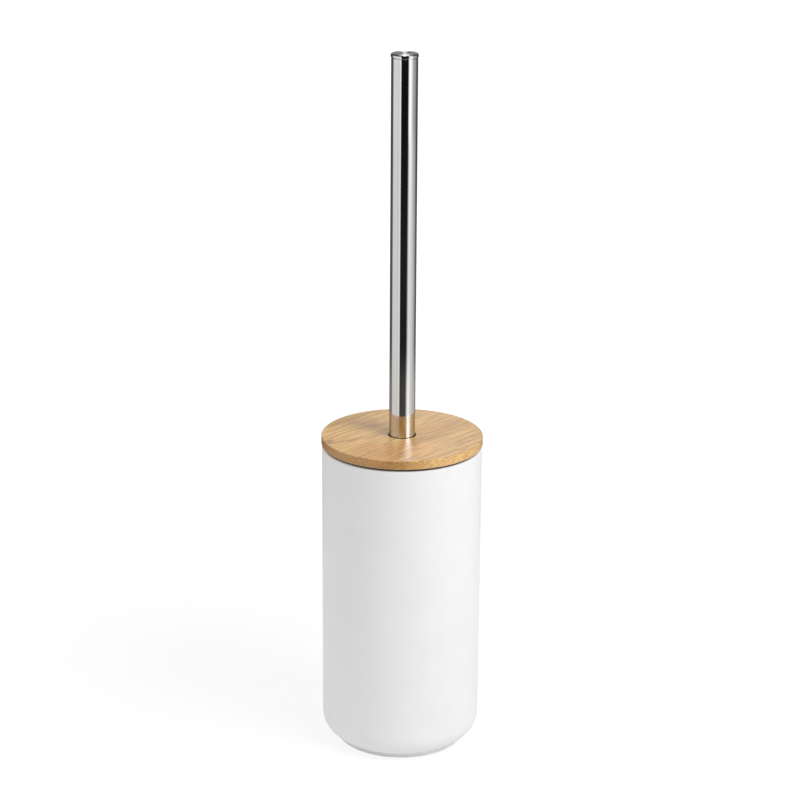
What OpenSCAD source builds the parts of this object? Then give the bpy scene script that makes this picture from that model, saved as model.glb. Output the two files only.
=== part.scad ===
// Toilet brush and holder. A drawn steel cup stands on a bonded foot ring and carries a drip
// liner that hangs from its rolled rim. A bamboo lid rests on the liner and slides on the
// stainless tube handle. The brush head screws to the handle, its tufts set one by one.
// Millimetres, +Z up. The origin is the centre of the foot ring's underside.

/* [Cup] */
// Outer diameter of the cup
cup_d = 99; // [92:1:116]
// Height of the cup, from its base to its rim
cup_h = 192.4; // [170:0.2:240]
// Thickness of the drawn sheet
cup_wall = 0.8; // [0.6:0.1:1.2]
// Outer radius between the cup's wall and its base
cup_corner_r = 13.5; // [10:0.5:20]
// Height of the rolled rim
rim_h = 2; // [1.8:0.1:3]
// Width of the rolled rim, from the cup's outside inwards
rim_w = 3.2; // [2.8:0.1:4.5]
// Diameter of the stiffening panel pressed up into the base
panel_d = 54; // [40:1:58]
// Height of that panel
panel_h = 1.5; // [1.2:0.1:3]

/* [Foot ring] */
// Outer diameter of the foot ring
foot_d = 81.4; // [76:0.2:90]
// Diameter of the hole through the foot ring
foot_bore_d = 46; // [30:1:50]
// Height that the foot ring holds the cup off the floor
foot_h = 1.8; // [1.2:0.1:4]
// Chamfer on the foot ring's lower outer edge
foot_edge = 0.4; // [0.2:0.1:0.8]
// Height of the lip that centres the ring in the pressed panel
foot_lip_h = 1; // [0.6:0.1:1.1]

/* [Drip liner] */
// Wall thickness of the liner
liner_wall = 1.4; // [1:0.1:2.2]
// Draft of the liner's wall, in degrees
liner_draft = 1; // [0.5:0.1:1.5]
// Outer radius between the liner's wall and its floor
liner_corner_r = 9; // [5:0.5:14]
// Thickness of the flange that hangs on the cup's rim
flange_t = 1.3; // [0.8:0.1:2]
// How far the flange's edge stays back from the cup's outside
flange_inset = 1.2; // [0.9:0.1:1.8]
// Room around the liner inside the rolled rim, on each side
liner_side_gap = 0.5; // [0.3:0.1:1]
// Room between the liner's floor and the panel in the cup's base
liner_under_gap = 2.5; // [1:0.5:6]

/* [Lid] */
// How far the bamboo lid stands out past the cup, on each side
lid_overhang = 0.35; // [0.1:0.05:2]
// Thickness of the lid outside the cup
lid_t = 5.4; // [4:0.1:9]
// Rounding of the lid's top and bottom edges
lid_edge_r = 0.5; // [0.3:0.1:1.5]
// Depth of the turned step that reaches into the liner
lid_step_h = 4; // [2:0.5:8]
// Room around that step inside the liner, on each side
lid_step_gap = 1.2; // [0.6:0.1:2]
// Room around the handle in the lid's top hole, on each side
lid_hole_gap = 0.45; // [0.3:0.05:1]
// Depth of the top hole, above the bush
lid_hole_h = 1.6; // [1:0.1:3]
// Chamfer around the top hole
lid_hole_edge = 0.3; // [0.2:0.1:0.8]

/* [Lid bush] */
// Wall thickness of the bush in the lid
bush_wall = 1.8; // [1.2:0.1:3]
// Running clearance between the bush and the handle, on each side
bush_gap = 0.15; // [0.1:0.05:0.4]
// Diameter of the bush's lower flange
bush_flange_d = 28; // [24:1:36]
// Thickness of the bush's lower flange
bush_flange_t = 1.2; // [0.8:0.1:2]

/* [Handle] */
// Outer diameter of the handle tube
tube_d = 16; // [14:0.5:20]
// Wall thickness of the handle tube
tube_wall = 0.7; // [0.5:0.1:1.2]
// Length of the handle tube
tube_l = 321.9; // [290:0.1:380]
// How far the end cap's rim stands out past the tube
cap_lip = 0.3; // [0.2:0.05:0.8]
// Height of the end cap's rim
cap_h = 2.2; // [1.4:0.1:4]
// Rounding of the end cap's top edge
cap_edge_r = 0.9; // [0.2:0.1:1.2]
// Depth of the shadow groove under the end cap's rim
cap_groove_depth = 0.4; // [0.2:0.1:0.5]
// Height of that groove
cap_groove_h = 0.4; // [0.3:0.1:1]
// Length of the end cap's spigot inside the tube
cap_spigot_l = 14; // [8:1:24]
// Wall thickness of that spigot
cap_spigot_wall = 1.8; // [1.2:0.1:3]

/* [Screw joint] */
// Diameter of the stud between the handle and the head
stud_d = 8; // [6:0.5:8]
// Length of the stud inside the handle's insert
stud_up = 14; // [10:1:18]
// Length of the stud inside the brush head
stud_down = 15; // [10:1:16]
// Length of the threaded insert in the tube
insert_l = 20; // [19:1:30]
// Clearance of a pressed, bonded or screwed fit, on each side
fit_gap = 0.05; // [0.03:0.01:0.1]

/* [Brush core] */
// Diameter of the tufted drum
core_d = 24; // [23:0.5:28]
// Diameter of the neck above the drum
neck_d = 15; // [13:0.5:18]
// Height of the neck
neck_h = 6; // [3:0.5:16]
// Height of the sloped shoulder between drum and neck
shoulder_h = 8; // [5:0.5:14]
// Height of the drum above its last row of tufts
drum_top_margin = 5; // [3:0.5:8]
// Wall thickness of the collar around the end of the tube
collar_wall = 2.5; // [2:0.1:4]
// Depth of the socket that the tube stands in
socket_h = 10; // [6:0.5:14]
// Height of the collar's sloped underside
collar_slope_h = 4; // [2:0.5:8]
// Height of the collar's solid floor under the socket
collar_floor_h = 4; // [2:0.5:8]
// Rounding of the collar's top edge
collar_edge_r = 1; // [0.5:0.1:1.2]

/* [Tufts] */
// Diameter of the whole brush head, across the bristle tips
head_d = 74; // [64:1:78]
// Length from the drum's lower centre down to the bristle tips
crown_r = 30; // [26:0.5:36]
// Number of tuft rows around the drum
rows = 8; // [5:1:9]
// Number of tufts in each row
row_tufts = 12; // [10:1:12]
// Height from one row to the next
row_pitch = 6.8; // [6:0.1:9]
// Diameter of a tuft where it enters the core
tuft_root_d = 3.4; // [2.8:0.1:3.6]
// Diameter of a tuft at its tip
tuft_tip_d = 8.6; // [6:0.2:9]
// Depth of a tuft hole
tuft_seat = 4; // [3:0.1:4]
// How much shorter the top row's bristles are
top_trim = 5; // [0:0.5:8]
// Gap from the bristle tips to the liner's floor
tip_gap = 0.3; // [0.2:0.1:1]

/* [Hidden] */
$fn = 96;
over = 1; // how far a cutting tool runs past a face
seat_gap = 0.1; // between a flat seat and the loose piece that rests on it
stud_end_gap = 0.5; // between the stud's end and the bottom of its hole
cup_r = cup_d / 2;
tube_r = tube_d / 2;
rim_z = foot_h + cup_h;
rim_r = rim_h / 2;
rim_inner_r = cup_r - rim_w;
panel_top_z = foot_h + panel_h + cup_wall;

flange_z = rim_z + seat_gap;
flange_top_z = flange_z + flange_t;
flange_r = cup_r - flange_inset;
liner_r = rim_inner_r - liner_side_gap;
liner_inner_r = liner_r - liner_wall / cos(liner_draft);
liner_bottom_z = panel_top_z + liner_under_gap;
liner_floor_z = liner_bottom_z + liner_wall;

lid_r = cup_r + lid_overhang;
lid_z = flange_top_z + seat_gap;
lid_top_z = lid_z + lid_t;
lid_bottom_z = lid_z - lid_step_h;
lid_step_r = liner_inner_r - lid_step_gap;
lid_hole_r = tube_r + lid_hole_gap;
bush_bore_r = tube_r + bush_gap;
bush_r = bush_bore_r + bush_wall;
bush_top_z = lid_top_z - lid_hole_h;

drum_z = liner_floor_z + tip_gap + crown_r; // centre of the drum's round lower end
core_r = core_d / 2;
drum_top_z = drum_z + (rows - 1) * row_pitch + drum_top_margin;
neck_z = drum_top_z + shoulder_h;
collar_z = neck_z + neck_h;
collar_r = tube_r + fit_gap + collar_wall;
tube_z = collar_z + collar_slope_h + collar_floor_h;
collar_top_z = tube_z + socket_h;
tube_inner_r = tube_r - tube_wall;
tube_top_z = tube_z + tube_l;
insert_r = tube_inner_r - fit_gap;
stud_r = stud_d / 2;
tuft_r = tuft_root_d / 2;

// The rows on the drum's round end: angle below level, and number of tufts.
crown_rows = [[31, 9], [61, 5], [90, 1]];

row_names = [for (row = [1:rows]) str("bristle_row_", row)];

// Half section of a can with a round lower corner. Its wall leans in by the draft towards the floor.
module can_section(r, z0, z1, corner, draft = 0) {
    corner_z = z0 + corner;
    corner_x = r - (z1 - corner_z) * tan(draft) - corner / cos(draft);
    translate([corner_x, corner_z]) circle(r = corner);
    polygon([
        [0, z0],
        [corner_x, z0],
        [corner_x, corner_z],
        [corner_x + corner * cos(draft), corner_z - corner * sin(draft)],
        [r, z1],
        [0, z1]
    ]);
}

// Half section of a flat disc with both outer edges rounded.
module disc_section(r, z0, z1, edge_r) {
    translate([0, z0]) square([r - edge_r, z1 - z0]);
    translate([0, z0 + edge_r]) square([r, z1 - z0 - 2 * edge_r]);
    for (z = [z0 + edge_r, z1 - edge_r]) {
        translate([r - edge_r, z]) circle(r = edge_r);
    }
}

// Half section of a rectangle between two radii and two heights.
module band_section(r0, r1, z0, z1) {
    translate([r0, z0]) square([r1 - r0, z1 - z0]);
}

// Half section of the rolled rim: a flattened bead with round sides.
module rim_section() {
    bead_z = rim_z - rim_r;
    band_section(rim_inner_r + rim_r, cup_r - rim_r, rim_z - rim_h, rim_z);
    for (x = [rim_inner_r + rim_r, cup_r - rim_r]) {
        translate([x, bead_z]) circle(r = rim_r);
    }
}

module holder_cup() {
    panel_r = panel_d / 2;
    color("whitesmoke") rotate_extrude() difference() {
        union() {
            difference() {
                can_section(cup_r, foot_h, rim_z - rim_r, cup_corner_r);
                can_section(cup_r - cup_wall, foot_h + cup_wall, rim_z + over, cup_corner_r - cup_wall);
            }
            rim_section();
            band_section(0, panel_r, foot_h, panel_top_z);
        }
        polygon([
            [0, foot_h - over],
            [panel_r - cup_wall, foot_h - over],
            [panel_r - cup_wall, foot_h],
            [panel_r - cup_wall - panel_h, foot_h + panel_h],
            [0, foot_h + panel_h]
        ]);
    }
}

// The ring's top hugs the cup's round corner, and its lip stands in the pressed panel.
module foot_ring() {
    foot_r = foot_d / 2;
    bore_r = foot_bore_d / 2;
    lip_r = panel_d / 2 - cup_wall - foot_lip_h - fit_gap;
    color("gainsboro") rotate_extrude() {
        difference() {
            polygon([
                [bore_r, 0],
                [foot_r - foot_edge, 0],
                [foot_r, foot_edge],
                [foot_r, foot_h + cup_corner_r],
                [bore_r, foot_h + cup_corner_r]
            ]);
            can_section(cup_r, foot_h, rim_z, cup_corner_r);
        }
        band_section(bore_r, lip_r, foot_h - foot_edge, foot_h + foot_lip_h);
    }
}

module drip_liner() {
    color("dimgray") rotate_extrude() {
        difference() {
            can_section(liner_r, liner_bottom_z, flange_top_z, liner_corner_r, liner_draft);
            translate([0, liner_wall])
                can_section(liner_inner_r, liner_bottom_z, flange_top_z, liner_corner_r - liner_wall, liner_draft);
        }
        band_section(liner_r - liner_wall / 2, flange_r, flange_z, flange_top_z);
    }
}

module lid_disc() {
    color("burlywood") rotate_extrude() difference() {
        union() {
            disc_section(lid_r, lid_z, lid_top_z, lid_edge_r);
            polygon([
                [0, lid_bottom_z],
                [lid_step_r - lid_edge_r, lid_bottom_z],
                [lid_step_r, lid_bottom_z + lid_edge_r],
                [lid_step_r, lid_z + lid_edge_r],
                [0, lid_z + lid_edge_r]
            ]);
        }
        band_section(0, bush_r + fit_gap, lid_bottom_z - over, bush_top_z);
        band_section(0, lid_hole_r, bush_top_z - over, lid_top_z + over);
        polygon([
            [0, lid_top_z - lid_hole_edge],
            [lid_hole_r, lid_top_z - lid_hole_edge],
            [lid_hole_r + lid_hole_edge, lid_top_z],
            [lid_hole_r + lid_hole_edge, lid_top_z + over],
            [0, lid_top_z + over]
        ]);
    }
}

module lid_bush() {
    color("black") rotate_extrude() {
        band_section(bush_bore_r, bush_r, lid_bottom_z - bush_flange_t, bush_top_z);
        band_section(bush_bore_r, bush_flange_d / 2, lid_bottom_z - bush_flange_t, lid_bottom_z);
    }
}

module handle_tube() {
    color("silver") translate([0, 0, tube_z]) difference() {
        cylinder(h = tube_l, r = tube_r);
        translate([0, 0, -over]) cylinder(h = tube_l + 2 * over, r = tube_inner_r);
    }
}

module handle_cap() {
    rim_bottom_z = tube_top_z + cap_groove_h;
    spigot_r = tube_inner_r - fit_gap;
    color("gainsboro") rotate_extrude() {
        difference() {
            disc_section(tube_r + cap_lip, rim_bottom_z - cap_h, rim_bottom_z + cap_h, cap_edge_r);
            band_section(0, tube_d, rim_bottom_z - cap_h - over, rim_bottom_z);
            band_section(-tube_d, 0, rim_bottom_z - cap_h - over, rim_bottom_z + cap_h + over);
        }
        band_section(0, tube_r - cap_groove_depth, tube_top_z, rim_bottom_z);
        difference() {
            band_section(0, spigot_r, tube_top_z - cap_spigot_l, tube_top_z);
            band_section(0, spigot_r - cap_spigot_wall, tube_top_z - cap_spigot_l - over, tube_top_z - cap_spigot_wall);
        }
    }
}

module tube_insert() {
    color("darkgoldenrod") translate([0, 0, tube_z]) difference() {
        cylinder(h = insert_l, r = insert_r);
        translate([0, 0, -over]) cylinder(h = stud_up + stud_end_gap + over, r = stud_r + fit_gap);
    }
}

module head_stud() {
    color("darkgray") translate([0, 0, tube_z - stud_down]) cylinder(h = stud_up + stud_down, r = stud_r);
}

// Puts its children on the core's surface line, pointing outwards at an angle below level.
module at_tuft(angle, turn, z) {
    translate([0, 0, z]) rotate([0, 0, turn]) rotate([0, 90 + angle, 0]) children();
}

// Every second row is turned by half a step, so that the tufts stand in the gaps of the last row.
module around_row(row) {
    step = 360 / row_tufts;
    for (i = [0:row_tufts - 1]) {
        at_tuft(0, step * (i + (row % 2) / 2), drum_z + (row - 1) * row_pitch) children();
    }
}

module around_crown(angle, count) {
    for (i = [0:count - 1]) {
        at_tuft(angle, 360 / count * i, drum_z) children();
    }
}

module tuft_hole() {
    translate([0, 0, core_r - tuft_seat]) cylinder(h = tuft_seat + over, r = tuft_r);
}

// One tuft: straight in its hole, then flaring to its trimmed tip.
module tuft(tip_distance) {
    rotate_extrude($fn = 24) polygon([
        [0, core_r - tuft_seat],
        [tuft_r - fit_gap, core_r - tuft_seat],
        [tuft_r - fit_gap, core_r],
        [tuft_tip_d / 2, tip_distance],
        [0, tip_distance]
    ]);
}

// The trimmed outline: round below, straight along the drum, and drawn in towards the top.
function row_tip_r(row) = head_d / 2 - top_trim * pow((row - 1) / (rows - 1), 4);
function crown_tip_r(angle) = head_d / 2 + (crown_r - head_d / 2) * pow(sin(angle), 2);

module brush_core() {
    socket_r = tube_r + fit_gap;
    color("white") difference() {
        union() {
            translate([0, 0, drum_z]) sphere(r = core_r);
            rotate_extrude() {
                polygon([
                    [0, drum_z],
                    [core_r, drum_z],
                    [core_r, drum_top_z],
                    [neck_d / 2, neck_z],
                    [neck_d / 2, collar_z],
                    [collar_r, collar_z + collar_slope_h],
                    [collar_r, collar_top_z - collar_edge_r],
                    [collar_r - collar_edge_r, collar_top_z],
                    [0, collar_top_z]
                ]);
            }
        }
        translate([0, 0, tube_z]) cylinder(h = socket_h + over, r = socket_r);
        translate([0, 0, tube_z - stud_down - stud_end_gap])
            cylinder(h = stud_down + stud_end_gap + over, r = stud_r + fit_gap);
        for (row = [1:rows]) {
            around_row(row) tuft_hole();
        }
        for (crown_row = crown_rows) {
            around_crown(crown_row[0], crown_row[1]) tuft_hole();
        }
    }
}

module bristle_crown() {
    color("ghostwhite") for (crown_row = crown_rows) {
        around_crown(crown_row[0], crown_row[1]) tuft(crown_tip_r(crown_row[0]));
    }
}

module bristle_row(row) {
    color("ghostwhite") around_row(row) tuft(row_tip_r(row));
}

holder_cup();
foot_ring();
drip_liner();
lid_disc();
lid_bush();
handle_tube();
handle_cap();
tube_insert();
head_stud();
brush_core();
bristle_crown();
for (row = [1:rows]) {
    bristle_row(row);
}
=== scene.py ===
import math

import bpy
import numpy as np
from mathutils import Matrix, Vector


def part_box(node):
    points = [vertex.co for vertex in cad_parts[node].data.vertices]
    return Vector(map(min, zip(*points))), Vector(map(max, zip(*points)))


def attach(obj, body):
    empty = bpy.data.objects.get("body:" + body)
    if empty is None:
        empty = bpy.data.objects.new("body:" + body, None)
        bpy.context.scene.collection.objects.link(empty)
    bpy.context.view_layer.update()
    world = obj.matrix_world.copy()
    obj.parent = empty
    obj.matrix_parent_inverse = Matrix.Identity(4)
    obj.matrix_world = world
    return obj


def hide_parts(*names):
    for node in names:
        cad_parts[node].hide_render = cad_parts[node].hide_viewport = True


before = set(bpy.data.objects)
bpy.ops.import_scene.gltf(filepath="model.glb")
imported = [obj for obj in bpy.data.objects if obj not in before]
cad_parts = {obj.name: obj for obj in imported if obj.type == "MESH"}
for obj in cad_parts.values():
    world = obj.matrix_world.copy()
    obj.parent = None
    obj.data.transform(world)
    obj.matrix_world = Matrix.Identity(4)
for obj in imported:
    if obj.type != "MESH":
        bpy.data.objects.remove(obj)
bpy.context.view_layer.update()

MM = 0.001


# ---------------------------------------------------------------- turned pieces

GUARD = 0.25


def with_guards(path):
    """Adds a point GUARD millimetres inside each end of every run of a path that is longer than
    four guards. They keep long straight runs flat in smooth shading."""
    run = np.diff(path, axis=0)
    length = np.hypot(run[:, 0], run[:, 1])
    step = run * GUARD / np.maximum(length, 1e-9)[:, None]
    rows = np.stack([path[:-1] + step, path[1:] - step, path[1:]], 1)
    is_long = length > 4 * GUARD
    kept = np.stack([is_long, is_long, np.ones_like(is_long)], 1)
    return np.concatenate([path[:1], rows[kept]])


def rounded(corners, arc_steps=7):
    """Half section (radius, height) in millimetres from corners (radius, height, rounding).
    At a corner P the two lines that meet there are cut back by
    rounding / tan(half the angle between them), and an arc joins the two cuts. Its centre lies on
    the angle's bisector, rounding / sin(half the angle) from P. A quarter turn of an arc takes
    arc_steps steps."""
    table = np.array(corners, float)
    points, fillets = table[:, :2], table[:, 2]
    out = []
    for i, fillet in enumerate(fillets):
        p = points[i]
        if fillet <= 0:
            out.append(p[None])
            continue
        u = points[i - 1] - p
        v = points[(i + 1) % len(points)] - p
        u, v = u / np.linalg.norm(u), v / np.linalg.norm(v)
        half = math.acos(np.clip(np.dot(u, v), -1, 1)) / 2
        cut = fillet / math.tan(half)
        centre = p + (u + v) / np.linalg.norm(u + v) * fillet / math.sin(half)
        a, b = p + u * cut - centre, p + v * cut - centre
        sweep = math.acos(np.clip(np.dot(a, b) / fillet ** 2, -1, 1))
        steps = max(2, int(round(arc_steps * sweep / (math.pi / 2))) + 1)
        s = np.linspace(0, 1, steps)[:, None]
        out.append(centre + (np.sin((1 - s) * sweep) * a + np.sin(s * sweep) * b) / math.sin(sweep))
    return with_guards(np.concatenate(out))


def mesh_piece(name, points, faces, smooth_to=35):
    """A mesh object from points in metres and faces. It is smooth except along edges sharper than
    smooth_to degrees."""
    mesh = bpy.data.meshes.new(name)
    mesh.from_pydata(points, [], faces)
    mesh.update()
    mesh.polygons.foreach_set("use_smooth", np.ones(len(mesh.polygons), bool))
    mesh.set_sharp_from_angle(angle=math.radians(smooth_to))
    piece = bpy.data.objects.new(name, mesh)
    bpy.context.scene.collection.objects.link(piece)
    return piece


def turned(name, section, steps=192):
    """A turned piece. Each point (r, z) of the half section goes round the Z axis, to
    (r cos a, r sin a, z) for equal steps of the angle a. A section that starts and ends on the
    axis gets one point at each pole, and any other section is closed from its last point to its
    first. The section runs anticlockwise with r to the right and z up, so the faces point
    outwards."""
    has_poles = section[0, 0] < 1e-6 and section[-1, 0] < 1e-6
    ring = section[1:-1] if has_poles else section
    n = len(ring)
    a = np.arange(steps) * 2 * math.pi / steps
    points = np.empty((n, steps, 3))
    points[..., 0] = ring[:, :1] * np.cos(a)
    points[..., 1] = ring[:, :1] * np.sin(a)
    points[..., 2] = ring[:, 1:]
    points = points.reshape(-1, 3)
    j = np.arange(steps)
    k = (j + 1) % steps
    i = np.arange(n - 1 if has_poles else n)[:, None] * steps
    up = (i + steps) % (n * steps)
    faces = np.stack([i + j, i + k, up + k, up + j], -1).reshape(-1, 4).tolist()
    if has_poles:
        low, high, last = n * steps, n * steps + 1, (n - 1) * steps
        points = np.vstack([points, [[0, 0, section[0, 1]], [0, 0, section[-1, 1]]]])
        faces += np.stack([np.full(steps, low), k, j], -1).tolist()
        faces += np.stack([last + j, last + k, np.full(steps, high)], -1).tolist()
    return mesh_piece(name, points * MM, faces)


def merged_copy(name, node):
    """A carried-over solid as one joined skin: its loose triangles share the corners that
    coincide, and triangles with two equal corners are left out."""
    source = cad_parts[node].data
    co = np.empty(len(source.vertices) * 3)
    source.vertices.foreach_get("co", co)
    source.calc_loop_triangles()
    triangles = np.empty(len(source.loop_triangles) * 3, np.int64)
    source.loop_triangles.foreach_get("vertices", triangles)
    corners, back = np.unique(np.round(co.reshape(-1, 3), 7), axis=0, return_inverse=True)
    faces = back.reshape(-1)[triangles].reshape(-1, 3)
    is_alive = (faces != np.roll(faces, 1, axis=1)).all(axis=1)
    return mesh_piece(name, corners, faces[is_alive].tolist(), smooth_to=28)


# ---------------------------------------------------------------- sizes in millimetres

def reach(node):
    """Outer radius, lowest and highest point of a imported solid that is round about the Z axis."""
    low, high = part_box(node)
    return high.x / MM, low.z / MM, high.z / MM


cup_r, cup_base, cup_rim = reach("holder_cup")
foot_r, foot_base, _ = reach("foot_ring")
flange_r, liner_base, flange_top = reach("drip_liner")
lid_r, lid_under, lid_top = reach("lid_disc")
bush_flange_r, bush_base, bush_top = reach("lid_bush")
tube_r, tube_base, tube_top = reach("handle_tube")
cap_r, cap_base, cap_top = reach("handle_cap")

CUP_WALL, CUP_CORNER = 0.8, 13.5
RIM_WIDTH, RIM_HEIGHT = 3.2, 2.0
PANEL_RISE, PANEL_R, PANEL_FOOT_R, PANEL_INNER_R = 1.5, 24.7, 26.2, 27
FOOT_BORE_R, FOOT_CHAMFER = 23, 0.4
LIP_R, LIP_RISE = 25.15, 1
LINER_WALL, LINER_GAP, LINER_LIFT = 1.4, 0.5, 0.1
LINER_DRAFT = math.tan(math.radians(1))
STEP_R, STEP_HEIGHT = 43.2, 4
HOLE_R, HOLE_CHAMFER, SEAT_R = 8.45, 0.3, 10
BUSH_BORE_R, BUSH_R, BUSH_FLANGE = 8.15, 9.95, 1.2
TUBE_WALL = 0.7
SPIGOT_R, SPIGOT_BORE_R, CAP_WEB = 7.25, 5.45, 1.8
GROOVE, CAP_EDGE = 0.4, 0.9


def cup_section():
    """Drawn steel cup: pressed panel and round corner below, straight wall, rolled rim above."""
    panel = cup_base + PANEL_RISE
    inner_r, floor_z = cup_r - CUP_WALL, cup_base + CUP_WALL
    rim_r, rim_low, roll = cup_r - RIM_WIDTH, cup_rim - RIM_HEIGHT, RIM_HEIGHT / 2
    return rounded([
        (0, panel, 0), (PANEL_R, panel, 0.5), (PANEL_FOOT_R, cup_base, 0.5),
        (cup_r, cup_base, CUP_CORNER), (cup_r, cup_rim, roll), (rim_r, cup_rim, roll),
        (rim_r, rim_low, roll), (inner_r, rim_low, 0.2),
        (inner_r, floor_z, CUP_CORNER - CUP_WALL), (PANEL_INNER_R, floor_z, 0.4),
        (PANEL_INNER_R, panel + CUP_WALL, 0.4), (0, panel + CUP_WALL, 0),
    ], arc_steps=9)


def foot_section():
    """Bonded foot ring: chamfered below, its top hugging the cup's round corner, with a centring
    lip inside. The corner's height at radius r is
    centre height - sqrt(corner squared - (r - centre radius) squared)."""
    centre_r, centre_z = cup_r - CUP_CORNER, cup_base + CUP_CORNER

    def corner_z(r):
        return centre_z - np.sqrt(CUP_CORNER ** 2 - (r - centre_r) ** 2)

    r = np.linspace(foot_r, centre_r, 9)[1:-1]
    low = rounded([
        (FOOT_BORE_R, foot_base, 0.15), (foot_r - FOOT_CHAMFER, foot_base, 0.1),
        (foot_r, foot_base + FOOT_CHAMFER, 0.1), (foot_r, corner_z(foot_r), 0),
    ])
    high = rounded([
        (centre_r, cup_base, 0), (LIP_R, cup_base, 0), (LIP_R, cup_base + LIP_RISE, 0.15),
        (FOOT_BORE_R, cup_base + LIP_RISE, 0.15), (FOOT_BORE_R, foot_base + FOOT_CHAMFER, 0),
    ])
    return np.concatenate([low, np.stack([r, corner_z(r)], -1), high])


def liner_section():
    """Drip liner: a bucket whose flange hangs on the cup's rim. Its wall leans in by the draft
    times the depth below the flange."""
    mouth_r = cup_r - RIM_WIDTH - LINER_GAP
    under, floor_z = cup_rim + LINER_LIFT, liner_base + LINER_WALL

    def outer(z):
        return mouth_r - (flange_top - z) * LINER_DRAFT

    def inner(z):
        return mouth_r - LINER_WALL - (flange_top + LINER_WALL - z) * LINER_DRAFT

    return rounded([
        (0, liner_base, 0), (outer(liner_base), liner_base, 9), (outer(under), under, 0.3),
        (flange_r, under, 0.25), (flange_r, flange_top, 0.3), (inner(flange_top), flange_top, 0.4),
        (inner(floor_z), floor_z, 7.6), (0, floor_z, 0),
    ])


def lid_section():
    """Lid: a disc with eased edges, a turned step below, a chamfered hole above a wider seat."""
    plate = lid_under + STEP_HEIGHT
    return rounded([
        (SEAT_R, lid_under, 0.1), (STEP_R, lid_under, 0.5), (STEP_R, plate, 0.1),
        (lid_r, plate, 0.5), (lid_r, lid_top, 0.5), (HOLE_R + HOLE_CHAMFER, lid_top, 0.1),
        (HOLE_R, lid_top - HOLE_CHAMFER, 0.1), (HOLE_R, bush_top, 0), (SEAT_R, bush_top, 0),
    ])


def bush_section():
    """Black bush: a plain sleeve with a flange under the lid's step."""
    shoulder = bush_base + BUSH_FLANGE
    return rounded([
        (BUSH_BORE_R, bush_base, 0.3), (bush_flange_r, bush_base, 0.4),
        (bush_flange_r, shoulder, 0.2), (BUSH_R, shoulder, 0), (BUSH_R, bush_top, 0.15),
        (BUSH_BORE_R, bush_top, 0.4),
    ])


def tube_section():
    """Drawn steel tube, both ends deburred."""
    bore_r = tube_r - TUBE_WALL
    return rounded([(bore_r, tube_base, 0.1), (tube_r, tube_base, 0.15), (tube_r, tube_top, 0.12),
                    (bore_r, tube_top, 0.1)])


def cap_section():
    """End cap: faced top with an eased edge, a shadow groove under the rim, a hollow spigot."""
    web, rim_under, groove_r = tube_top - CAP_WEB, tube_top + GROOVE, tube_r - GROOVE
    return rounded([
        (0, web, 0), (SPIGOT_BORE_R, web, 0.6), (SPIGOT_BORE_R, cap_base, 0.2),
        (SPIGOT_R, cap_base, 0.3), (SPIGOT_R, tube_top, 0), (groove_r, tube_top, 0),
        (groove_r, rim_under, 0), (cap_r, rim_under, 0.12), (cap_r, cap_top, CAP_EDGE),
        (0, cap_top, 0),
    ], arc_steps=10)


# ---------------------------------------------------------------- bristles

ROWS, ROW_TUFTS, ROW_PITCH = 8, 12, 6.8
DRUM_Z = 38.3            # height of the lowest row and of the round end's centre
TRIM_R = 37              # distance of the trimmed tips from the drum's axis
ROW_TRIM, CROWN_TRIM = 5, 7      # how much shorter the top row and the pole are trimmed
TUFT_ROOT_R, TUFT_TIP_R = 1.5, 3.95
ROOT_REACH = 9.5         # distance of the tufts' roots from the drum's axis
STRANDS, STRAND_POINTS, STRAND_SIDES = 52, 6, 4
STRAND_R = 0.185
FLARE = 1.25             # power of the way out with which a tuft widens
CRIMP, CRIMP_TURNS = 0.10, 9
TURN_SCATTER, PLACE_SCATTER, TRIM_SCATTER = 0.12, 0.035, 0.55


def row_tufts(row):
    """Tufts of one row: angle below level, turn, height of the centre, distance of the trimmed
    tips. Odd rows are turned by half a tuft."""
    turn = 360 / ROW_TUFTS * (np.arange(ROW_TUFTS) + (row % 2) / 2)
    tip = TRIM_R - ROW_TRIM * ((row - 1) / (ROWS - 1)) ** 4
    height = DRUM_Z + (row - 1) * ROW_PITCH
    return np.stack([np.zeros(ROW_TUFTS), turn, np.full(ROW_TUFTS, height),
                     np.full(ROW_TUFTS, tip)], -1)


def crown_tufts():
    """Tufts of the round end, in three rings that close to one tuft at its pole."""
    rings = []
    for angle, count in ((31, 9), (61, 5), (90, 1)):
        tip = TRIM_R - CROWN_TRIM * math.sin(math.radians(angle)) ** 2
        rings.append(np.stack([np.full(count, angle), 360 / count * np.arange(count),
                               np.full(count, DRUM_Z), np.full(count, tip)], -1))
    return np.concatenate(rings)


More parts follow.
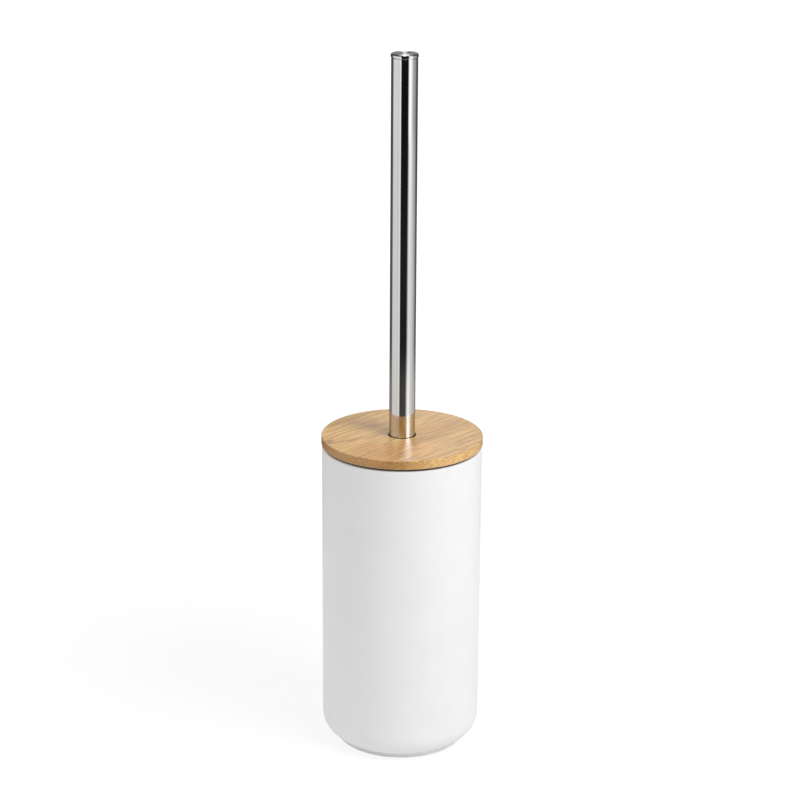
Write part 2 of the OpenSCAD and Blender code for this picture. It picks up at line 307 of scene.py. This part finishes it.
def bristles(name, tufts, seed, on_drum):
    """Filaments of the given tufts, all in one array. Filament k of a tuft starts at
    root radius * sqrt((k + 0.5) / strands) from the tuft's axis, turned by k golden angles, and
    ends at the same place of the wider tip disc. Between them its distance from the axis grows
    with the 1.25th power of the way out, and a small crimp wave is added. Each end is cut to the
    trimmed outline, less a little that differs from filament to filament. The cross-section is a
    square turned at random."""
    rng = np.random.default_rng(seed)
    n = len(tufts)
    below, turn = np.radians(tufts[:, 0]), np.radians(tufts[:, 1])
    out = np.stack([np.cos(below) * np.cos(turn), np.cos(below) * np.sin(turn), -np.sin(below)],
                   -1)
    side = np.stack([-np.sin(turn), np.cos(turn), np.zeros(n)], -1)
    lift = np.cross(out, side)
    k = np.arange(STRANDS)
    spread = np.sqrt((k + 0.5) / STRANDS)
    angle = k * math.pi * (3 - math.sqrt(5)) + rng.uniform(0, 2 * math.pi, (n, 1))
    angle = angle + rng.normal(0, TURN_SCATTER, (n, STRANDS))
    share = np.clip(spread + rng.normal(0, PLACE_SCATTER, (n, STRANDS)), 0.02, 1)
    way = np.linspace(0, 1, STRAND_POINTS)
    root, tip = TUFT_ROOT_R * spread[None], TUFT_TIP_R * share
    off = root[..., None] + (tip - root)[..., None] * way ** FLARE
    wave = CRIMP * np.sin(way * CRIMP_TURNS + rng.uniform(0, 6.28, (n, STRANDS, 1))) * way
    swing = angle[..., None] + wave / np.maximum(off, 0.6)
    across, along = off * np.cos(swing), off * np.sin(swing)
    far = tufts[:, 3][:, None] - rng.uniform(0, TRIM_SCATTER, (n, STRANDS))
    if on_drum:
        far = np.sqrt(far ** 2 - across[..., -1] ** 2)
    outwards = ROOT_REACH + (far[..., None] - ROOT_REACH) * way
    centre = (tufts[:, 2][:, None, None, None] * np.array([0, 0, 1])
              + outwards[..., None] * out[:, None, None]
              + across[..., None] * side[:, None, None]
              + along[..., None] * lift[:, None, None])
    thick = STRAND_R * rng.uniform(0.88, 1.06, (n, STRANDS, 1, 1, 1))
    corner = np.arange(STRAND_SIDES)
    twist = rng.uniform(0, 1.57, (n, STRANDS, 1)) + corner * 2 * math.pi / STRAND_SIDES
    ring = (np.cos(twist)[..., None] * side[:, None, None]
            + np.sin(twist)[..., None] * lift[:, None, None])
    points = centre[..., None, :] + thick * ring[:, :, None]

    count, strand_size = n * STRANDS, STRAND_POINTS * STRAND_SIDES
    first = (np.arange(count) * strand_size)[:, None]
    step = (np.arange(STRAND_POINTS - 1) * STRAND_SIDES)[None, :, None]
    low = first[:, None] + step
    this, after = low + corner, low + (corner + 1) % STRAND_SIDES
    quads = np.stack([this, after, after + STRAND_SIDES, this + STRAND_SIDES], -1).reshape(-1, 4)
    faces = np.concatenate([quads, first + strand_size - STRAND_SIDES + corner,
                            first + corner[::-1]])
    piece = mesh_piece(name, points.reshape(-1, 3) * MM, faces.tolist(), smooth_to=60)
    tone = np.repeat(rng.uniform(0, 1, count), strand_size)
    piece.data.attributes.new("strand_tone", "FLOAT", "POINT").data.foreach_set("value", tone)
    return piece


# ---------------------------------------------------------------- finishes

def finish_of(name, **sockets):
    """A new material: its node tree and its Principled shader, with constant sockets set on the
    shader."""
    material = bpy.data.materials.new(name)
    material.use_nodes = True
    tree = material.node_tree
    skin = next(n for n in tree.nodes if n.type == "BSDF_PRINCIPLED")
    for key, value in sockets.items():
        skin.inputs[key.replace("_", " ")].default_value = value
    return material, tree, skin


def feed(tree, socket, value):
    """Sets a socket to a value, or links another node's output to it."""
    if isinstance(value, bpy.types.NodeSocket):
        tree.links.new(value, socket)
    else:
        socket.default_value = value


def add(tree, kind, inputs=(), **settings):
    """Adds a node. Its settings come first, then its inputs, each a value or another node's
    output."""
    node = tree.nodes.new("ShaderNode" + kind)
    for key, value in settings.items():
        setattr(node, key, value)
    for key, value in dict(inputs).items():
        feed(tree, node.inputs[key], value)
    return node


def place(tree, scale=(1, 1, 1), turn=0, shift=(0, 0, 0)):
    """Object coordinates, turned about Z by `turn` degrees and shifted, then scaled, so that a
    pattern can be stretched."""
    spot = add(tree, "TexCoord").outputs["Object"]
    laid = add(tree, "Mapping", {"Vector": spot, "Rotation": (0, 0, math.radians(turn)),
                                 "Location": shift}).outputs[0]
    return add(tree, "Mapping", {"Vector": laid, "Scale": scale}).outputs[0]


def noise(tree, vector, scale=1, detail=2, rough=0.5, distort=0):
    """Fractal noise of a vector, about 0 to 1."""
    return add(tree, "TexNoise", {"Vector": vector, "Scale": scale, "Detail": detail,
                                  "Roughness": rough, "Distortion": distort}).outputs["Fac"]


def span(tree, value, low, high, to_low=0, to_high=1, smooth=False):
    """Maps low..high of a value onto to_low..to_high, held at both ends."""
    return add(tree, "MapRange", {"Value": value, "From Min": low, "From Max": high,
                                  "To Min": to_low, "To Max": to_high},
               interpolation_type="SMOOTHSTEP" if smooth else "LINEAR").outputs[0]


def reckon(tree, operation, a, b=0.0):
    """One step of arithmetic on two values."""
    return add(tree, "Math", {0: a, 1: b}, operation=operation).outputs[0]


def blend_of(tree, share, a, b, kind="MIX"):
    """Colour a to colour b by a share from 0 to 1."""
    node = add(tree, "Mix", data_type="RGBA", blend_type=kind)
    for at, value in ((0, share), (6, a), (7, b)):
        feed(tree, node.inputs[at], value)
    return node.outputs[2]


def rgb(r, g, b):
    """An opaque colour."""
    return (r, g, b, 1.0)


def distance_from(tree, point):
    """Distance from a point given in object coordinates, in metres."""
    spot = add(tree, "TexCoord").outputs["Object"]
    return add(tree, "VectorMath", {0: spot, 1: point}, operation="DISTANCE").outputs["Value"]


def axis_distance(tree):
    """Distance from the Z axis: the length of the object coordinates without their Z."""
    parts = add(tree, "SeparateXYZ", {0: add(tree, "TexCoord").outputs["Object"]}).outputs
    flat = add(tree, "CombineXYZ", {"X": parts["X"], "Y": parts["Y"]}).outputs[0]
    return add(tree, "VectorMath", {0: flat}, operation="LENGTH").outputs["Value"]


def contour(tree, value, count):
    """Distance from the nearest level line: how far value * count, less its whole part, is from
    a half."""
    part = reckon(tree, "FRACT", reckon(tree, "MULTIPLY", value, count))
    return reckon(tree, "ABSOLUTE", reckon(tree, "SUBTRACT", part, 0.5))


def bumps(tree, skin, *layers):
    """Chains bump layers (height, depth in metres) onto the shader's normal."""
    normal = None
    for height, depth in layers:
        inputs = {"Height": height, "Distance": depth, "Strength": 1.0}
        if normal is not None:
            inputs["Normal"] = normal
        normal = add(tree, "Bump", inputs).outputs[0]
    tree.links.new(normal, skin.inputs["Normal"])


def powder_coat():
    """Matt white powder coat: faint clouding, a fine pebbled skin over a slower waviness."""
    material, tree, skin = finish_of("white_powder_coat", Roughness=0.55, IOR=1.5)
    spot = place(tree)
    cloud = noise(tree, spot, 45, 3, 0.55)
    grit = noise(tree, spot, 2600, 3, 0.6)
    tone = blend_of(tree, span(tree, cloud, 0.3, 0.7), rgb(0.795, 0.797, 0.80),
                    rgb(0.825, 0.826, 0.826))
    tone = blend_of(tree, span(tree, grit, 0.35, 0.7, 0, 0.35), tone, rgb(0.775, 0.777, 0.78))
    tree.links.new(tone, skin.inputs["Base Color"])
    tree.links.new(span(tree, grit, 0.3, 0.7, 0.48, 0.62), skin.inputs["Roughness"])
    bumps(tree, skin, (noise(tree, spot, 1300, 2, 0.5), 0.00003), (grit, 0.000024))
    return material


GRAIN_TURN = 48          # degrees from the X axis to the fibres
LID_Z = 0.2
HOLE_SHADE_R = (0.00885, 0.00870)       # distances from the axis where the painted shade of the hole starts and is full
GRAIN_STOPS = ((0.42, (0.43, 0.215, 0.060)), (0.478, (0.63, 0.350, 0.110)),
               (0.522, (0.72, 0.425, 0.150)), (0.58, (0.82, 0.535, 0.212)))
# local tones of the boards: place x, y, where each starts and where it is full, and its factor
LOCAL_TONES = ((-0.016, -0.033, 0.0235, 0.010, (0.93, 0.815, 0.62)),
               (0.009, -0.025, 0.020, 0.005, (1.17, 1.14, 1.08)),
               (-0.037, -0.002, 0.030, 0.010, (1.06, 1.055, 1.045)),
               (0.017, 0.009, 0.020, 0.006, (1.085, 1.055, 1.0)))


def bamboo():
    """Lacquered bamboo. The grain runs 48 degrees off the X axis. Stretched noise gives broad
    boards, streaks and fine fibres. Level lines of a slow noise give the few brown growth lines,
    and those of a second one orange arches in two places near the front edge. Four soft local
    tones make one place deeper and three paler. Across the grain the same fibres show as
    end-grain speckle."""
    material, tree, skin = finish_of("lacquered_bamboo", IOR=1.5, Coat_Weight=1.0,
                                     Coat_Roughness=0.34, Coat_IOR=1.5)

    def grain(along, across, shift=(0, 0, 0)):
        return place(tree, (along, across, across), -GRAIN_TURN, shift)

    broad = noise(tree, grain(7, 55), 1, 2, 0.5, 0.2)
    streak = noise(tree, grain(20, 700), 1, 3, 0.6, 0.1)
    fibre = noise(tree, grain(80, 1500), 1, 3, 0.7)
    mixed = reckon(tree, "ADD", reckon(tree, "MULTIPLY", broad, 0.18),
                   reckon(tree, "MULTIPLY", streak, 0.42))
    mixed = reckon(tree, "ADD", mixed, reckon(tree, "MULTIPLY", fibre, 0.40))
    ramp = add(tree, "ValToRGB", {"Fac": mixed})
    stops = ramp.color_ramp.elements
    stops[0].position, stops[1].position = GRAIN_STOPS[0][0], GRAIN_STOPS[-1][0]
    for at, _ in GRAIN_STOPS[1:-1]:
        stops.new(at)
    for stop, (_, colour) in zip(stops, GRAIN_STOPS):
        stop.color = rgb(*colour)
    thin = noise(tree, grain(10, 520, (0.03, 0.02, 0)), 1, 2, 0.5, 0.15)
    tone = blend_of(tree, span(tree, thin, 0.59, 0.68, 0, 0.6, True), ramp.outputs[0],
                    rgb(0.46, 0.215, 0.06))
    # growth lines, which fade in and out along their way
    slow = noise(tree, grain(5, 48, (0.013, 0.004, 0)), 1, 1.5, 0.45, 0.25)
    fade = span(tree, noise(tree, grain(16, 90), 1, 2), 0.46, 0.62)
    line = span(tree, contour(tree, slow, 9.0), 0.07, 0.0, 0, 0.75, True)
    tone = blend_of(tree, reckon(tree, "MULTIPLY", line, fade), tone, rgb(0.33, 0.135, 0.036))
    # arches near the front right edge, and a smaller group in front of the hole
    arch = noise(tree, grain(20, 70, (0.02, 0.01, 0)), 1, 2, 0.5, 0.6)
    right = distance_from(tree, (0.029, -0.031, LID_Z))
    front = distance_from(tree, (-0.007, -0.031, LID_Z))
    near = reckon(tree, "MAXIMUM", span(tree, right, 0.024, 0.008, 0, 1, True),
                  span(tree, front, 0.015, 0.004, 0, 1, True))
    arches = span(tree, contour(tree, arch, 7.0), 0.16, 0.0, 0, 0.6, True)
    tone = blend_of(tree, reckon(tree, "MULTIPLY", arches, near), tone, rgb(0.50, 0.205, 0.045))
    for x, y, outer, inner, factor in LOCAL_TONES:
        away = distance_from(tree, (x, y, LID_Z))
        tone = blend_of(tree, span(tree, away, outer, inner, 0, 1, True), tone, rgb(*factor),
                        "MULTIPLY")
    # the turned side: bright along the fibres, dark and speckled where they are cut across
    facing = add(tree, "TexCoord").outputs["Normal"]
    fibres = (math.cos(math.radians(GRAIN_TURN)), math.sin(math.radians(GRAIN_TURN)), 0)
    along = add(tree, "VectorMath", {0: facing, 1: fibres}, operation="DOT_PRODUCT")
    end_grain = span(tree, reckon(tree, "ABSOLUTE", along.outputs["Value"]), 0.44, 0.82)
    up = reckon(tree, "ABSOLUTE", add(tree, "SeparateXYZ", {0: facing}).outputs["Z"])
    side = span(tree, up, 0.75, 0.3, 0, 1, True)
    dots = noise(tree, grain(420, 1900), 1, 2, 0.6)
    pores = blend_of(tree, span(tree, dots, 0.42, 0.60), rgb(0.27, 0.122, 0.023),
                     rgb(0.60, 0.305, 0.068))
    flank = blend_of(tree, span(tree, dots, 0.38, 0.58), rgb(0.50, 0.26, 0.065),
                     rgb(0.78, 0.48, 0.17))
    tone = blend_of(tree, side, tone, blend_of(tree, end_grain, flank, pores))
    # the hole's wall and chamfer, darkened: painted shade of the gap round the tube
    hole_shade = span(tree, axis_distance(tree), *HOLE_SHADE_R)
    tone = blend_of(tree, hole_shade, tone, rgb(0.085, 0.040, 0.014))
    tree.links.new(tone, skin.inputs["Base Color"])
    tree.links.new(span(tree, streak, 0.3, 0.7, 0.36, 0.52), skin.inputs["Roughness"])
    bumps(tree, skin, (streak, 0.00003), (fibre, 0.00002))
    return material


def polished_steel():
    """Polished stainless tube: near mirror, with faint drawn lines along its length."""
    material, tree, skin = finish_of("polished_steel", Metallic=1.0)
    lines = noise(tree, place(tree, (900, 900, 5)), 1, 3, 0.6)
    wide = noise(tree, place(tree, (260, 260, 2)), 1, 2, 0.5)
    tone = blend_of(tree, span(tree, wide, 0.3, 0.7), rgb(0.58, 0.575, 0.565),
                    rgb(0.66, 0.655, 0.645))
    tree.links.new(tone, skin.inputs["Base Color"])
    tree.links.new(span(tree, lines, 0.3, 0.7, 0.045, 0.095), skin.inputs["Roughness"])
    bumps(tree, skin, (lines, 0.0000012))
    return material


def turned_steel():
    """Faced end cap: fine concentric tool rings on the top, which spread the light across
    them."""
    material, tree, skin = finish_of("turned_steel", Metallic=1.0, Anisotropic=1.0,
                                     Anisotropic_Rotation=0.25)
    outwards = reckon(tree, "MULTIPLY", axis_distance(tree), 4500.0)
    rings = noise(tree, add(tree, "CombineXYZ", {"X": outwards}).outputs[0], 1, 2, 0.6)
    tone = blend_of(tree, span(tree, rings, 0.3, 0.7), rgb(0.56, 0.56, 0.565),
                    rgb(0.68, 0.68, 0.68))
    tree.links.new(tone, skin.inputs["Base Color"])
    up = add(tree, "SeparateXYZ", {0: add(tree, "TexCoord").outputs["Normal"]}).outputs["Z"]
    tree.links.new(span(tree, up, 0.9, 0.995, 0.07, 0.39), skin.inputs["Roughness"])
    round_z = add(tree, "Tangent", direction_type="RADIAL", axis="Z")
    tree.links.new(round_z.outputs[0], skin.inputs["Tangent"])
    bumps(tree, skin, (rings, 0.0000035))
    return material


def moulded(name, low, high, grit_scale, rough, depth=0.00001):
    """Moulded plastic or rubber: two close tones in slow clouds, and a spark-eroded grit on the
    skin."""
    material, tree, skin = finish_of(name)
    spot = place(tree)
    grit = noise(tree, spot, grit_scale, 2, 0.55)
    tone = blend_of(tree, span(tree, noise(tree, spot, 70, 3), 0.3, 0.7), rgb(*low), rgb(*high))
    tree.links.new(tone, skin.inputs["Base Color"])
    tree.links.new(span(tree, grit, 0.3, 0.7, rough - 0.05, rough + 0.06),
                   skin.inputs["Roughness"])
    bumps(tree, skin, (grit, depth))
    return material


def drawn_metal(name, low, high, rough, turn_scale):
    """Machined metal: ring-shaped tool marks round the Z axis."""
    material, tree, skin = finish_of(name, Metallic=1.0)
    marks = noise(tree, place(tree, (60, 60, turn_scale)), 1, 2, 0.6)
    tree.links.new(blend_of(tree, marks, rgb(*low), rgb(*high)), skin.inputs["Base Color"])
    tree.links.new(span(tree, marks, 0.3, 0.7, rough, rough + 0.12), skin.inputs["Roughness"])
    bumps(tree, skin, (marks, 0.000006))
    return material


def nylon():
    """White nylon filaments: each a little different in tone, half clear towards the light."""
    material, tree, skin = finish_of("white_nylon", IOR=1.53, Roughness=0.34,
                                     Subsurface_Weight=0.25, Subsurface_Scale=0.0006)
    skin.inputs["Subsurface Radius"].default_value = (1.0, 1.0, 1.0)
    tone = add(tree, "Attribute", attribute_name="strand_tone").outputs["Fac"]
    colour = blend_of(tree, tone, rgb(0.74, 0.75, 0.755), rgb(0.86, 0.865, 0.86))
    cloud = noise(tree, place(tree), 210, 2, 0.5)
    colour = blend_of(tree, span(tree, cloud, 0.3, 0.7, 0, 0.3), colour, rgb(0.70, 0.715, 0.73))
    tree.links.new(colour, skin.inputs["Base Color"])
    tree.links.new(span(tree, cloud, 0.3, 0.7, 0.28, 0.42), skin.inputs["Roughness"])
    bumps(tree, skin, (noise(tree, place(tree), 5200, 1), 0.000004))
    return material


# ---------------------------------------------------------------- the assembly

def dress(piece, body, node, material):
    """Gives a piece its finish, joins it to a body, and lets it stand for its solid."""
    piece.data.materials.clear()
    piece.data.materials.append(material)
    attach(piece, body)
    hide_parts(node)


SHOWN_STEPS = 256        # steps round the pieces that are seen largest

black_nylon = moulded("black_nylon", (0.012, 0.012, 0.013), (0.02, 0.02, 0.021), 2200, 0.42)
liner_grey = moulded("liner_plastic", (0.045, 0.046, 0.048), (0.062, 0.063, 0.065), 1500, 0.45)
foot_rubber = moulded("foot_rubber", (0.86, 0.855, 0.83), (0.90, 0.895, 0.87), 1900, 0.72,
                      0.00002)
head_plastic = moulded("head_plastic", (0.76, 0.765, 0.77), (0.82, 0.822, 0.822), 1700, 0.38)
brass = drawn_metal("insert_brass", (0.62, 0.44, 0.18), (0.72, 0.53, 0.24), 0.28, 2500)
zinc = drawn_metal("stud_steel", (0.48, 0.48, 0.49), (0.60, 0.60, 0.61), 0.30, 1250)
white_nylon = nylon()

dress(turned("cup_shell", cup_section(), SHOWN_STEPS), "holder", "holder_cup",
      powder_coat())
dress(turned("foot_pad", foot_section(), SHOWN_STEPS), "holder", "foot_ring",
      foot_rubber)
dress(turned("liner_bucket", liner_section()), "liner", "drip_liner", liner_grey)
dress(turned("bamboo_lid", lid_section(), SHOWN_STEPS), "lid", "lid_disc", bamboo())
dress(turned("sleeve_bush", bush_section()), "lid", "lid_bush", black_nylon)
dress(turned("steel_tube", tube_section()), "brush", "handle_tube",
      polished_steel())
dress(turned("end_cap", cap_section()), "brush", "handle_cap", turned_steel())
dress(merged_copy("brass_insert", "tube_insert"), "brush", "tube_insert", brass)
dress(merged_copy("joining_stud", "head_stud"), "brush", "head_stud", zinc)
dress(merged_copy("head_core", "brush_core"), "brush", "brush_core", head_plastic)
dress(bristles("crown_filaments", crown_tufts(), 7, False), "brush", "bristle_crown",
      white_nylon)
for row in range(1, ROWS + 1):
    dress(bristles(f"row_{row}_filaments", row_tufts(row), 20 + row, True), "brush",
          f"bristle_row_{row}", white_nylon)


# ---------------------------------------------------------------- floor, studio and camera

FLOOR_R, FLOOR_Z = 6, -0.00005
TENT_R, TENT_LOW, TENT_HIGH = 0.38, 0.001, 1.3


def bare_material(name):
    """A material whose node tree is empty."""
    material = bpy.data.materials.new(name)
    material.use_nodes = True
    material.node_tree.nodes.clear()
    return material


def backdrop_rays(tree):
    """1 for camera, glossy and transmission rays, which see the plain backdrop, and 0 for the
    rest."""
    path = add(tree, "LightPath").outputs
    share = reckon(tree, "MAXIMUM", path["Is Camera Ray"], path["Is Glossy Ray"])
    return reckon(tree, "MAXIMUM", share, path["Is Transmission Ray"])


def floor():
    """A wide pale disc just below height 0. Its white comes from the backdrop rays, and it keeps
    the shadow: near the object the white leaves room for the lamps' light, and it grows to full
    as that light falls off."""
    turn = np.arange(64) * 2 * math.pi / 64
    rim = np.stack([FLOOR_R * np.cos(turn), FLOOR_R * np.sin(turn), np.full(64, FLOOR_Z)], -1)
    piece = mesh_piece("floor", rim, [np.arange(64).tolist()])
    material = bare_material("floor_white")
    tree = material.node_tree
    bounce = add(tree, "BsdfDiffuse", {"Color": rgb(0.93, 0.93, 0.93)}).outputs[0]
    shade = add(tree, "BsdfDiffuse", {"Color": rgb(0.17, 0.17, 0.17)}).outputs[0]
    level = span(tree, distance_from(tree, (0, 0, 0)), 0.15, 0.9, 0.835, 0.98, True)
    white = add(tree, "Emission", {"Color": rgb(1, 1, 1), "Strength": level}).outputs[0]
    seen = add(tree, "AddShader", {0: shade, 1: white}).outputs[0]
    both = add(tree, "MixShader", {0: backdrop_rays(tree), 1: bounce, 2: seen}).outputs[0]
    add(tree, "OutputMaterial", {"Surface": both})
    piece.data.materials.append(material)


# Studio cards: (degrees round Z from the front towards +X, level). Each row has the height where
# it starts to show, the height where it shows in full, and its strength.
LEFT_CARDS = ((-101, 0.59), (-92, 0.54), (-78, 0.57), (-58, 0.60), (-42, 0.56), (-36, 0.78),
              (-30, 0.78))
CARD_ROWS = (
    (0, 0, 1.6, (
        (-180, 0.03), (-142, 0.05), (-130, 0.24), (-120, 0.20), (-110, 0.10), *LEFT_CARDS,
        (-25, 0.045), (24, 0.05), (33, 0.30), (41, 0.70), (50, 0.90), (59, 0.84), (68, 0.68),
        (78, 0.56), (90, 0.50), (102, 0.46), (118, 0.42), (132, 0.32), (150, 0.05))),
    (0.105, 0.15, 1.6, (
        (-180, 0.03), (-142, 0.04), (-133, 0.15), (-125, 0.09), (-114, 0.005), *LEFT_CARDS,
        (-25, 0.012), (30, 0.012), (38, 0.30), (43, 0.60), (49, 0.69), (59, 0.69), (68, 0.61),
        (79, 0.59), (89, 0.46), (101, 0.41), (115, 0.27), (127, 0.08))),
    (0.19, 0.32, 1.6, (
        (-180, 0.60), (-170, 0.50), (-162, 0.03), (-112, 0.07), *LEFT_CARDS, (-25, 0.007),
        (33, 0.007), (41, 0.52), (47, 0.80), (54, 0.90), (64, 0.84), (74, 0.58), (86, 0.44),
        (98, 0.36), (112, 0.25), (122, 0.06), (162, 0.03), (170, 0.65), (180, 0.60))),
    (0.300, 0.322, 1.6, (
        (-180, 0.455), (-170, 0.315), (-164, 0.052), (-112, 0.07), (-103, 0.58), (-42, 0.62),
        (-36, 0.80), (-30, 0.80), (-25, 0.006), (31, 0.006), (35, 0.25), (41, 0.93), (54, 0.99),
        (62, 0.92), (68, 0.66), (75, 0.47), (84, 0.38), (98, 0.30), (114, 0.20), (124, 0.052),
        (164, 0.052), (170, 0.63), (176, 0.595), (180, 0.455))),
    (0.42, 0.46, 1.0, (
        (-180, 0.45), (-168, 0.45), (-158, 0.06), (-34, 0.10), (-25, 0.01), (29, 0.01),
        (36, 0.90), (64, 0.90), (74, 0.15), (130, 0.06), (158, 0.06), (168, 0.45))),
    (0.66, 0.74, 3.4, (
        (-180, 0.9), (-172, 0.9), (-164, 0.01), (-20, 0.01), (-12, 0.7), (12, 0.7), (20, 0.02),
        (38, 0.18), (66, 0.18), (78, 0.02), (160, 0.01), (168, 0.9))),
)
TINT_HEIGHTS = (0.100, 0.148)      # where the warm low part gives way to the cool one
LAMP_HEIGHTS = (0.300, 0.322, 0.42, 0.46)
LAMP_STRENGTH = 8.6
LAMP_CARD = ((-180, 0), (36, 0), (42, 1), (65, 1), (71, 0.2), (100, 0.05), (124, 0))


def reflection_tent():
    """A round tent that only polished surfaces see: pale and dark studio cards by their angle
    round Z, as a share of a turn plus a half, in rows that blend into each other with height.
    The low part is a little warm, and higher up the cards at the lamp's side are a little cool.
    A bare lamp among them, full from 0.322 to 0.42 m, shows only in the reflection of a
    reflection, as in the lacquer at the tube's foot."""
    steps = 96
    a = np.arange(steps) * 2 * math.pi / steps
    ring = np.stack([TENT_R * np.cos(a), TENT_R * np.sin(a)], -1)
    points = np.concatenate([np.c_[ring, np.full(steps, z)] for z in (TENT_LOW, TENT_HIGH)])
    j = np.arange(steps)
    k = (j + 1) % steps
    piece = mesh_piece("studio_cards", points, np.stack([k, j, j + steps, k + steps], -1).tolist())
    material = bare_material("studio_cards")
    tree = material.node_tree
    spot = add(tree, "SeparateXYZ", {0: add(tree, "TexCoord").outputs["Object"]}).outputs
    angle = reckon(tree, "ARCTAN2", spot["X"], reckon(tree, "MULTIPLY", spot["Y"], -1.0))
    turn = span(tree, angle, -math.pi, math.pi)
    lamp_side = reckon(tree, "MULTIPLY",
                       span(tree, angle, math.radians(22), math.radians(34)),
                       span(tree, angle, math.radians(76), math.radians(44)))
    cool = blend_of(tree, lamp_side, rgb(1, 1, 1), rgb(0.92, 0.985, 1.06))
    warm = blend_of(tree, lamp_side, rgb(1.0, 0.97, 0.93), rgb(0.99, 0.985, 0.975))
    tint = blend_of(tree, span(tree, spot["Z"], *TINT_HEIGHTS, 0, 1, True), warm, cool)

    def cards(strength, levels):
        ramp = add(tree, "ValToRGB", {"Fac": turn})
        stops = ramp.color_ramp.elements
        while len(stops) < len(levels):
            stops.new(0.5)
        for stop, (degrees, level) in zip(stops, levels):
            stop.position = degrees / 360 + 0.5
            stop.color = rgb(level, level, level)
        colour = blend_of(tree, 1.0, ramp.outputs[0], tint, "MULTIPLY")
        return add(tree, "Emission", {"Color": colour, "Strength": strength}).outputs[0]

    seen = None
    for low, high, strength, levels in CARD_ROWS:
        row_cards = cards(strength, levels)
        if seen is None:
            seen = row_cards
            continue
        share = span(tree, spot["Z"], low, high, 0, 1, True)
        seen = add(tree, "MixShader", {0: share, 1: seen, 2: row_cards}).outputs[0]
    twice = reckon(tree, "GREATER_THAN", add(tree, "LightPath").outputs["Glossy Depth"], 1.5)
    band = reckon(tree, "MULTIPLY", span(tree, spot["Z"], *LAMP_HEIGHTS[:2], 0, 1, True),
                  span(tree, spot["Z"], *LAMP_HEIGHTS[2:], 1, 0, True))
    lamp = cards(reckon(tree, "MULTIPLY", reckon(tree, "MULTIPLY", band, twice), LAMP_STRENGTH),
                 LAMP_CARD)
    seen = add(tree, "AddShader", {0: seen, 1: lamp}).outputs[0]
    add(tree, "OutputMaterial", {"Surface": seen})
    piece.data.materials.append(material)
    material.cycles.emission_sampling = "NONE"
    piece.visible_camera = piece.visible_diffuse = piece.visible_shadow = False
    piece.visible_transmission = piece.visible_volume_scatter = False


def softbox(name, azimuth, elevation, distance, size, power):
    """A square area light that looks at the middle of the object. Azimuth runs from the front
    (-Y) to +X."""
    a, e = math.radians(azimuth), math.radians(elevation)
    middle = Vector((0, 0, 0.2))
    back = Vector((math.sin(a) * math.cos(e), -math.cos(a) * math.cos(e), math.sin(e)))
    data = bpy.data.lights.new(name, "AREA")
    data.shape, data.size, data.energy = "SQUARE", size, power
    lamp = bpy.data.objects.new(name, data)
    lamp.location = middle + back * distance
    lamp.rotation_mode = "QUATERNION"
    lamp.rotation_quaternion = (-back).to_track_quat("-Z", "Y")
    lamp.visible_glossy = False
    bpy.context.scene.collection.objects.link(lamp)


def studio():
    """Even pale surroundings and two soft lamps."""
    world = bpy.data.worlds.new("studio_world")
    bpy.context.scene.world = world
    world.use_nodes = True
    tree = world.node_tree
    tree.nodes.clear()
    strength = span(tree, backdrop_rays(tree), 0, 1, 0.60, 1.0)
    sky = add(tree, "Background", {"Color": rgb(1, 1, 1), "Strength": strength}).outputs[0]
    add(tree, "OutputWorld", {"Surface": sky})
    softbox("key_lamp", azimuth=52, elevation=46, distance=1.3, size=0.55, power=10.35)
    softbox("fill_lamp", azimuth=-110, elevation=20, distance=1.5, size=0.9, power=3.4)


def camera():
    """Eye level above the lid, 18 degrees down, in a long lens."""
    place_of_eye, down, roll = (-0.001416, -1.33627, 0.66574), 0.3197, 0.0067
    data = bpy.data.cameras.new("camera")
    data.sensor_width, data.lens = 36.0, 103.02
    data.clip_start, data.clip_end = 0.05, 30.0
    eye = bpy.data.objects.new("camera", data)
    bpy.context.scene.collection.objects.link(eye)
    eye.matrix_world = (Matrix.Translation(place_of_eye)
                        @ Matrix.Rotation(math.pi / 2 - down, 4, "X")
                        @ Matrix.Rotation(roll, 4, "Z"))
    bpy.context.scene.camera = eye


floor()
reflection_tent()
studio()
camera()
bpy.context.scene.view_settings.view_transform = "Standard"
